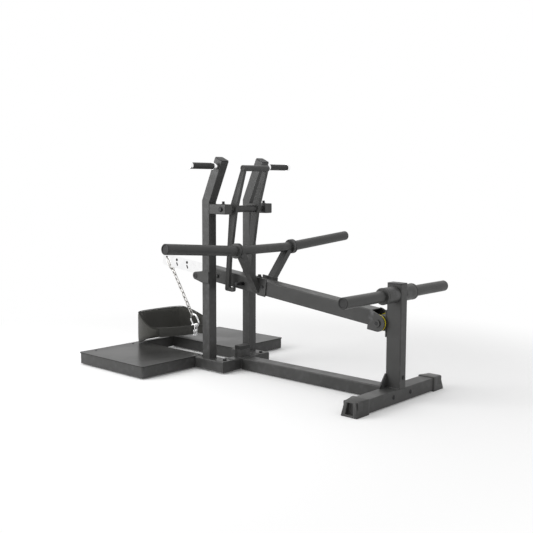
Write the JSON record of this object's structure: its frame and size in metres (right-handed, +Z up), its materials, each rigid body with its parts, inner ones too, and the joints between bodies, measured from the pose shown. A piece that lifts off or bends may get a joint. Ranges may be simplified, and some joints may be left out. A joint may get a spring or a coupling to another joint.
{
  "type": "belt squat machine",
  "caption": "Plate-loaded belt squat machine: slotted platform, pivoting lever arm with weight sleeves, lock lever, handgrips, and a hip belt on a chain.",
  "frame": {"origin": "On the floor under the middle of the overall box: halfway along the machine and on its plane of symmetry.", "axes": "+Z up, +X to the rear towards the pivot post, +Y to the left side of a user who faces the uprights from the platform; the machine is longest along X."},
  "size_m": [1.6794, 1.32, 1.0863],
  "materials": {
    "graphite_paint": "satin powder coat with a fine grain",
    "deck_paint": "smooth semi-gloss paint",
    "black_rubber": "matt moulded rubber",
    "black_plastic": "moulded plastic",
    "chrome": "bright plated steel",
    "dark_steel": "black oxide",
    "yellow_plastic": "plain moulded plastic",
    "belt_cloth": "dark woven cover over foam"
  },
  "bodies": {
    "frame": {"rear_crossbeam": "graphite_paint", "rear_foot_right": "black_rubber", "rear_foot_left": "black_rubber", "rear_post": "graphite_paint", "rear_post_cap": "black_plastic", "centre_beam": "graphite_paint", "cross_tube": "graphite_paint", "skid_right": "graphite_paint", "skid_left": "graphite_paint", "platform_frame": "graphite_paint", "platform_deck": "deck_paint", "bumper_post": "graphite_paint", "bumper_pad": "black_rubber", "storage_bar": "graphite_paint", "storage_cap_right": "black_plastic", "storage_cap_left": "black_plastic", "upright_right": "graphite_paint", "upright_left": "graphite_paint", "upright_cap_right": "black_plastic", "upright_cap_left": "black_plastic", "grip_bar_right": "chrome", "grip_bar_left": "chrome", "grip_sleeve_right": "black_rubber", "grip_sleeve_left": "black_rubber", "ear_plate": "graphite_paint", "lock_bracket_right": "graphite_paint", "lock_bracket_left": "graphite_paint", "stop_bolt_right": "black_plastic", "stop_bolt_left": "black_plastic", "lock_shaft": "dark_steel", "pivot_bracket": "graphite_paint", "pivot_ring_right": "yellow_plastic", "pivot_ring_left": "yellow_plastic", "pivot_shaft": "dark_steel", "swivel": "chrome", "chain": "chrome", "lower_ring": "chrome", "belt_ring_right": "chrome", "belt_ring_left": "chrome", "belt_pad": "belt_cloth", "belt_strap_right": "belt_cloth", "belt_strap_left": "belt_cloth"},
    "lock_lever": {"lock_arm_right": "graphite_paint", "lock_arm_left": "graphite_paint", "lock_sleeve": "graphite_paint", "lock_handle": "graphite_paint"},
    "arm": {"arm_beam": "graphite_paint", "catch_pin": "dark_steel", "arm_stud": "black_rubber", "weight_strut_right": "graphite_paint", "weight_strut_left": "graphite_paint", "weight_crossbar": "graphite_paint", "weight_sleeve_right": "graphite_paint", "weight_sleeve_left": "graphite_paint", "weight_cap_right": "black_plastic", "weight_cap_left": "black_plastic", "belt_bar": "chrome", "bar_socket": "graphite_paint", "bar_bolt": "dark_steel", "carabiner": "chrome"}
  },
  "joints": [
    {"name": "arm_swing", "type": "hinge", "parent": "frame", "child": "arm", "pos_m": [0.72475, 0, 0.346], "axis": [0, 1, 0], "range_deg": [-19, 4], "deforming": ["chain", "swivel", "belt_strap_right"]},
    {"name": "lock_lever_swing", "type": "hinge", "parent": "frame", "child": "lock_lever", "pos_m": [-0.12225, 0, 0.828], "axis": [0, 1, 0], "range_deg": [-4.4, 16]}
  ]
}
